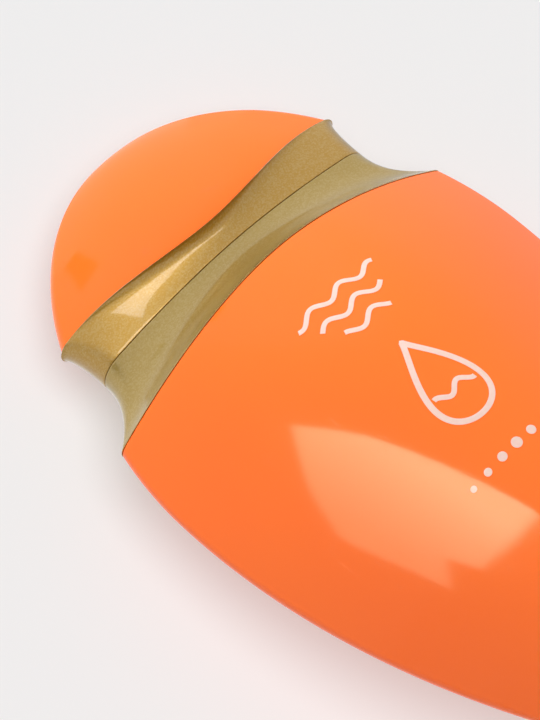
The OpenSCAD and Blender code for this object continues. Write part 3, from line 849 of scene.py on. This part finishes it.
class BOTTLE_OT_print(bpy.types.Operator):
    """Generic print on the front: three ripples, a drop with a wave in it and a row of dots"""

    bl_idname = "bottle.front_print"
    bl_label = "Front print"

    @staticmethod
    def under_front(x, z):
        """The point just under the bottle's front face at x and z, where the ink starts."""
        b = settings("bottle_sizes")
        half, thick = body_halves(z)
        core, rise = half - b.side_edge, thick - b.side_edge
        s = x / half
        for _ in range(12):
            slope = Vector((b.face_crown * rise / core * math.copysign(abs(s) ** (b.face_crown - 1), s),
                            -1)).normalized()
            s += (x - core * s - b.side_edge * slope.x) / (core + b.side_edge)
        y = -rise * (1 - crowned(abs(s), b.face_crown)) + b.side_edge * slope.y
        return Vector((x, y + INK, z))

    def stroke(self, bm, path, width):
        """A strip of even width along a path of (x, z) points. A path that ends where it starts is joined."""
        steps = len(path) - 1
        joined = (path[0] - path[-1]).length < WELD
        strip = bmesh.ops.create_grid(bm, x_segments=steps, y_segments=2, size=1)["verts"]
        for v in strip:
            k = round((v.co.x + 1) / 2 * steps)
            before = path[(k - 1) % steps if joined else max(k - 1, 0)]
            after = path[(k + 1) % steps if joined else min(k + 1, steps)]
            way = (after - before).normalized()
            p = path[k] + Vector((way.y, -way.x)) * width / 2 * v.co.y
            v.co = self.under_front(p.x, p.y)
        if joined:
            bmesh.ops.remove_doubles(bm, verts=strip, dist=WELD)

    def dot(self, bm, centre, radius):
        disc = bmesh.ops.create_circle(bm, cap_ends=True, cap_tris=True, segments=32, radius=radius)["verts"]
        for v in {v for d in disc for f in d.link_faces for v in f.verts}:
            v.co = self.under_front(centre.x + v.co.x, centre.y + v.co.y)

    @staticmethod
    def ripple(middle, half, rise, wave, steps):
        """A wavy line to both sides of a middle point, as (x, z) points."""
        offsets = [half * (2 * k / steps - 1) for k in range(steps + 1)]
        return [middle + Vector((x, rise * math.sin(2 * math.pi * x / wave))) for x in offsets]

    def execute(self, context):
        p = settings("print_sizes")
        bm = bmesh.new()
        for k in range(RIPPLES):
            middle = Vector((0, p.ripple_level - p.ripple_step * k))
            half = p.ripple_half - p.ripple_taper * k
            self.stroke(bm, self.ripple(middle, half, p.ripple_rise, p.ripple_wave, RIPPLE_STEPS), p.stroke)
        middle = Vector((0, p.drop_level))
        turns = [2 * math.pi * k / DROP_STEPS for k in range(DROP_STEPS + 1)]
        drop = [middle + Vector((p.drop_swell * math.sin(t) * math.sin(t / 2) ** DROP_POINT,
                                 p.drop_rise * math.cos(t))) for t in turns]
        self.stroke(bm, drop, p.outline)
        low = middle - Vector((0, p.inner_drop))
        self.stroke(bm, self.ripple(low, p.inner_half, p.inner_rise, p.inner_wave, DROP_WAVE_STEPS), p.stroke)
        for k in range(-DOTS_EACH_SIDE, DOTS_EACH_SIDE + 1):
            self.dot(bm, Vector((p.dot_pitch * k, p.dot_level)), p.dot_radius - p.dot_taper * abs(k))
        top = bmesh.ops.extrude_face_region(bm, geom=bm.faces[:], use_keep_orig=True)["geom"]
        bmesh.ops.translate(bm, vec=(0, -2 * INK, 0),
                            verts=[v for v in top if isinstance(v, bmesh.types.BMVert)])
        piece = finished(bm, "front_print", stock("pale_screen_ink", screen_ink), "bottle")
        return {"FINISHED"}


def placed(middle, *axes):
    """The matrix of something that stands at a point, with its x, y and z axes along the given ones."""
    return Matrix.Translation(middle) @ Matrix(axes).transposed().to_4x4()


def unseen(thing, *rays):
    """Hides a lamp or a card from rays of the named kinds."""
    for ray in rays:
        setattr(thing, "visible_" + ray, False)


class BOTTLE_OT_stage(bpy.types.Operator):
    """Camera, world, lamps, mirrored cards, floor and the sheet that the bottle's back lies on"""

    bl_idname = "bottle.stage"
    bl_label = "Stage"

    def execute(self, context):
        scene = context.scene
        scene.view_settings.view_transform = "Standard"
        self.camera(scene)
        self.world(scene)
        bottle = [o for o in scene.objects if o.type == "MESH"]
        floor, rear = [self.sheet(*row) for row in SHEETS]
        orange = [bpy.data.objects[name] for name in ("bottle_shell", "dome_cap", "front_print")]
        members = {"bottle": bottle, "bottle_and_floor": bottle + [floor], "rear": [rear],
                   "lid_frame": [bpy.data.objects["closure_upper"]], "orange": orange}
        groups = {}
        for name, pieces in members.items():
            groups[name] = bpy.data.collections.new(name)
            for piece in pieces:
                groups[name].objects.link(piece)
        self.suns(scene, groups)
        self.strips(scene, groups["lid_frame"])
        self.cards(groups["orange"])
        return {"FINISHED"}

    @staticmethod
    def camera(scene):
        data = bpy.data.cameras.new("camera")
        data.sensor_fit = "AUTO"
        data.sensor_width = 36
        data.lens = LENS
        data.clip_start, data.clip_end = 0.01, 20
        camera = bpy.data.objects.new("camera", data)
        scene.collection.objects.link(camera)
        camera.matrix_world = placed(EYE * MM, RIGHT, UP, -AHEAD)
        scene.camera = camera

    @staticmethod
    def world(scene):
        """White fill for matt light; camera, mirror and glass rays see the backdrop's colour."""
        world = bpy.data.worlds.new("studio")
        scene.world = world
        world.use_nodes = True
        tree = world.node_tree
        tree.nodes.clear()
        path = add_node(tree, "ShaderNodeLightPath").outputs
        seen = path["Is Camera Ray"]
        for ray in ("Is Glossy Ray", "Is Transmission Ray"):
            seen = larger(tree, seen, path[ray])
        fill = add_node(tree, "ShaderNodeBackground", {"Color": WHITE, "Strength": FILL})
        back = add_node(tree, "ShaderNodeBackground", {"Color": settings("bottle_finishes").backdrop})
        add_node(tree, "ShaderNodeOutputWorld", {"Surface": mixed(tree, seen, fill.outputs[0],
                                                                  back.outputs[0])})

    @staticmethod
    def lamp(scene, name, kind, receiver):
        """A lamp that lights one group alone."""
        data = bpy.data.lights.new(name, kind)
        lamp = bpy.data.objects.new(name, data)
        scene.collection.objects.link(lamp)
        lamp.light_linking.receiver_collection = receiver
        return lamp, data

    def suns(self, scene, groups):
        """Broad soft lamps that no surface mirrors."""
        for name, way, angle, strength, receiver in SUNS:
            lamp, data = self.lamp(scene, name, "SUN", groups[receiver])
            data.angle = math.radians(angle)
            data.energy = strength
            lamp.rotation_mode = "QUATERNION"
            lamp.rotation_quaternion = Vector(way).to_track_quat("Z", "Y")
            unseen(lamp, "glossy")

    def strips(self, scene, receiver):
        """Narrow lamps that only the lid's frame mirrors, as one bent highlight."""
        for name, start, end, width, radiance in STRIPS:
            lamp, data = self.lamp(scene, name, "AREA", receiver)
            start, end = Vector(start) * MM, Vector(end) * MM
            data.shape = "RECTANGLE"
            data.size, data.size_y = width * MM, (end - start).length
            data.energy = radiance * math.pi * data.size * data.size_y
            middle = (start + end) / 2
            out = (middle - STRIP_AIM * MM).normalized()
            along = (end - start).normalized()
            across = along.cross(out).normalized()
            lamp.matrix_world = placed(middle, across, along, across.cross(along))
            unseen(lamp, "camera", "diffuse", "transmission")

    @staticmethod
    def cards(orange):
        """Cards that only mirror rays see: a bright one for the orange at the left, and darker ones."""
        for name, colour, axis, span, strengths, corners in CARDS:
            material, tree, place = new_material(name)
            along = add_node(tree, "ShaderNodeVectorMath", {0: place, 1: axis}, operation="DOT_PRODUCT")
            level = remap(tree, along.outputs["Value"], span[0] * MM, span[1] * MM, *strengths)
            surface(tree, add_node(tree, "ShaderNodeEmission", {"Color": colour,
                                                                "Strength": level}).outputs[0])
            bm = bmesh.new()
            bmesh.ops.contextual_create(bm, geom=[bm.verts.new(Vector(p) * MM) for p in corners])
            card = as_object(bm, name, material)
            unseen(card, "camera", "diffuse", "transmission", "shadow")
            if name == "bright_card":
                card.light_linking.receiver_collection = orange

    def sheet(self, name, setting, size, fade, point, lean):
        """A sheet of paper that fades out to its edges and is clear from behind.

        The leaning one lies behind the bottle's back and keeps its shadow. No surface mirrors it.
        """
        material, tree, place = new_material(name)
        colour = getattr(settings("bottle_finishes"), setting)
        away = add_node(tree, "ShaderNodeVectorMath", {0: place}, operation="LENGTH")
        rim = remap(tree, away.outputs["Value"], *fade, 0.0, 1.0, interpolation_type="SMOOTHSTEP")
        paper = add_node(tree, "ShaderNodeBsdfDiffuse", {"Color": colour}).outputs[0]
        hole = larger(tree, add_node(tree, "ShaderNodeNewGeometry").outputs["Backfacing"], rim)
        if lean:
            hole = larger(tree, hole, self.window(tree))
            paper = self.bleached(tree, paper, colour)
        surface(tree, mixed(tree, hole, paper, add_node(tree, "ShaderNodeBsdfTransparent").outputs[0]))
        bm = bmesh.new()
        bmesh.ops.create_grid(bm, x_segments=1, y_segments=1, size=size / 2)
        turn = Matrix.Rotation(math.radians(lean), 4, "X")
        bmesh.ops.transform(bm, matrix=Matrix.Translation(Vector(point) * MM) @ turn, verts=bm.verts)
        sheet = as_object(bm, name, material)
        unseen(sheet, "diffuse", "shadow")
        sheet.visible_glossy = not lean
        return sheet

    @staticmethod
    def window(tree):
        """Clears the sheet where something stands close behind it, as the opened lid does."""
        near = add_node(tree, "ShaderNodeAmbientOcclusion", {"Distance": WINDOW_REACH}, inside=True)
        return remap(tree, near.outputs["AO"], 0.75, 0.97, 1.0, 0.0)

    @staticmethod
    def bleached(tree, paper, colour):
        """Shows the camera a share of plain backdrop, so that the bottle's tint on the paper stays faint."""
        seen = add_node(tree, "ShaderNodeLightPath").outputs["Is Camera Ray"]
        share = add_node(tree, "ShaderNodeMath", {0: seen, 1: BLEACH}, operation="MULTIPLY").outputs[0]
        plain = add_node(tree, "ShaderNodeEmission", {"Color": colour}).outputs[0]
        return mixed(tree, share, paper, plain)


OPERATORS = (BOTTLE_OT_shell, BOTTLE_OT_closure_base, BOTTLE_OT_lid_frame, BOTTLE_OT_dome, BOTTLE_OT_hinge,
             BOTTLE_OT_fittings, BOTTLE_OT_print, BOTTLE_OT_stage)
GROUPS = {"bottle_sizes": BottleSizes, "closure_sizes": ClosureSizes, "hinge_sizes": HingeSizes,
          "print_sizes": PrintSizes, "bottle_finishes": BottleFinishes}


class BOTTLE_PT_panel(bpy.types.Panel):
    """Lists the operators, and the sizes and colours that they read"""

    bl_idname = "BOTTLE_PT_panel"
    bl_label = "Oval flip-top bottle"
    bl_space_type = "VIEW_3D"
    bl_region_type = "UI"
    bl_category = "Bottle"

    def draw(self, context):
        for operator in OPERATORS:
            self.layout.operator(operator.bl_idname)
        for name in GROUPS:
            group = getattr(context.scene, name)
            box = self.layout.box()
            for key in group.bl_rna.properties.keys():
                if key not in ("rna_type", "name"):
                    box.prop(group, key)


def register():
    for cls in (*GROUPS.values(), *OPERATORS, BOTTLE_PT_panel):
        bpy.utils.register_class(cls)
    for name, group in GROUPS.items():
        setattr(bpy.types.Scene, name, bpy.props.PointerProperty(type=group))


def unregister():
    for name in GROUPS:
        delattr(bpy.types.Scene, name)
    for cls in reversed((*GROUPS.values(), *OPERATORS, BOTTLE_PT_panel)):
        bpy.utils.unregister_class(cls)


def main():
    register()
    bpy.ops.bottle.shell()
    bpy.ops.bottle.closure_base()
    bpy.ops.bottle.lid_frame()
    bpy.ops.bottle.dome()
    bpy.ops.bottle.hinge()
    bpy.ops.bottle.fittings()
    bpy.ops.bottle.front_print()
    bpy.ops.bottle.stage()


if __name__ == "__main__":
    main()
